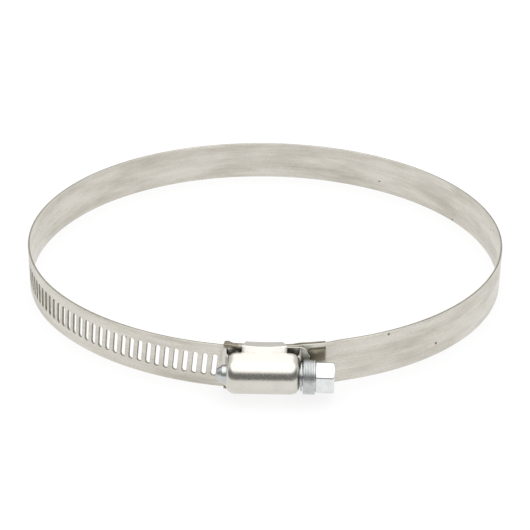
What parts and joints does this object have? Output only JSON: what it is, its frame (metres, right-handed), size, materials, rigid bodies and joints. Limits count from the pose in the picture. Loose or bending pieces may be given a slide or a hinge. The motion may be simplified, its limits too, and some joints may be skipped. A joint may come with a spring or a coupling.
{
  "type": "hose clamp",
  "caption": "Worm-drive hose clamp with a slotted steel band, a domed screw housing and a hexagon-head screw, standing on its edge, fully open.",
  "frame": {"origin": "centre of the clamped circle, at the middle of the band's width", "axes": "+Z along the hose, -Y towards the screw housing, +X towards the screw's hexagon head"},
  "size_m": [0.1451, 0.1547, 0.0138],
  "materials": {
    "band_steel": "rolled stainless strip, satin, with faint lengthwise stains",
    "housing_steel": "drawn stainless sheet, smooth and bright",
    "saddle_steel": "pressed stainless sheet, dull, slightly warm",
    "zinc_plated_steel": "turned steel, bright zinc plated, bluish white"
  },
  "bodies": {
    "housing": {"housing_cover": "housing_steel", "saddle": "saddle_steel", "band_fixed_end": "band_steel"},
    "screw": {"worm_screw": "zinc_plated_steel"},
    "tail": {"band_tail": "band_steel"},
    "link_01": {"band_link_01": "band_steel"},
    "link_02": {"band_link_02": "band_steel"},
    "link_03": {"band_link_03": "band_steel"},
    "link_04": {"band_link_04": "band_steel"},
    "link_05": {"band_link_05": "band_steel"},
    "link_06": {"band_link_06": "band_steel"},
    "link_07": {"band_link_07": "band_steel"},
    "link_08": {"band_link_08": "band_steel"},
    "link_09": {"band_link_09": "band_steel"},
    "link_10": {"band_link_10": "band_steel"},
    "link_11": {"band_link_11": "band_steel"},
    "link_12": {"band_link_12": "band_steel"}
  },
  "joints": [
    {"name": "screw_turn", "type": "hinge", "parent": "housing", "child": "screw", "pos_m": [-0.00028, -0.0775, 0], "axis": [-0.9995, 0.0314, 0.0052], "range_deg": [0, 6840]},
    {"name": "band_feed", "type": "hinge", "parent": "housing", "child": "tail", "pos_m": [0, 0, 0], "axis": [0, 0, 1], "range_deg": [0, 39.99]},
    {"name": "band_flex_01", "type": "hinge", "parent": "housing", "child": "link_01", "pos_m": [0.02213, -0.0681, 0], "axis": [0, 0, 1], "range_deg": [0, 4.17]},
    {"name": "band_flex_02", "type": "hinge", "parent": "link_01", "child": "link_02", "pos_m": [0.0481, -0.05304, 0], "axis": [0, 0, 1], "range_deg": [0, 3.79]},
    {"name": "band_flex_03", "type": "hinge", "parent": "link_02", "child": "link_03", "pos_m": [0.06561, -0.02866, 0], "axis": [0, 0, 1], "range_deg": [0, 3.42]},
    {"name": "band_flex_04", "type": "hinge", "parent": "link_03", "child": "link_04", "pos_m": [0.0716, 0.00076, 0], "axis": [0, 0, 1], "range_deg": [0, 3.1]},
    {"name": "band_flex_05", "type": "hinge", "parent": "link_04", "child": "link_05", "pos_m": [0.06499, 0.03005, 0], "axis": [0, 0, 1], "range_deg": [0, 2.87]},
    {"name": "band_flex_06", "type": "hinge", "parent": "link_05", "child": "link_06", "pos_m": [0.04696, 0.05405, 0], "axis": [0, 0, 1], "range_deg": [0, 2.74]},
    {"name": "band_flex_07", "type": "hinge", "parent": "link_06", "child": "link_07", "pos_m": [0.02067, 0.06855, 0], "axis": [0, 0, 1], "range_deg": [0, 2.74]},
    {"name": "band_flex_08", "type": "hinge", "parent": "link_07", "child": "link_08", "pos_m": [-0.00925, 0.071, 0], "axis": [0, 0, 1], "range_deg": [0, 2.87]},
    {"name": "band_flex_09", "type": "hinge", "parent": "link_08", "child": "link_09", "pos_m": [-0.03754, 0.06097, 0], "axis": [0, 0, 1], "range_deg": [0, 3.1]},
    {"name": "band_flex_10", "type": "hinge", "parent": "link_09", "child": "link_10", "pos_m": [-0.05924, 0.04022, 0], "axis": [0, 0, 1], "range_deg": [0, 3.41]},
    {"name": "band_flex_11", "type": "hinge", "parent": "link_10", "child": "link_11", "pos_m": [-0.07084, 0.01246, 0], "axis": [0, 0, 1], "range_deg": [0, 3.77]},
    {"name": "band_flex_12", "type": "hinge", "parent": "link_11", "child": "link_12", "pos_m": [-0.07051, -0.01788, 0], "axis": [0, 0, 1], "range_deg": [0, 4.14]}
  ],
  "couplings": [
    {"joint": "screw_turn", "follows": "band_feed", "ratio": 171.04},
    {"joint": "band_flex_01", "follows": "band_feed", "ratio": 0.10409},
    {"joint": "band_flex_02", "follows": "band_feed", "ratio": 0.094441},
    {"joint": "band_flex_03", "follows": "band_feed", "ratio": 0.085265},
    {"joint": "band_flex_04", "follows": "band_feed", "ratio": 0.077325},
    {"joint": "band_flex_05", "follows": "band_feed", "ratio": 0.071452},
    {"joint": "band_flex_06", "follows": "band_feed", "ratio": 0.068332},
    {"joint": "band_flex_07", "follows": "band_feed", "ratio": 0.068335},
    {"joint": "band_flex_08", "follows": "band_feed", "ratio": 0.071434},
    {"joint": "band_flex_09", "follows": "band_feed", "ratio": 0.077213},
    {"joint": "band_flex_10", "follows": "band_feed", "ratio": 0.084971},
    {"joint": "band_flex_11", "follows": "band_feed", "ratio": 0.093891},
    {"joint": "band_flex_12", "follows": "band_feed", "ratio": 0.10325}
  ]
}
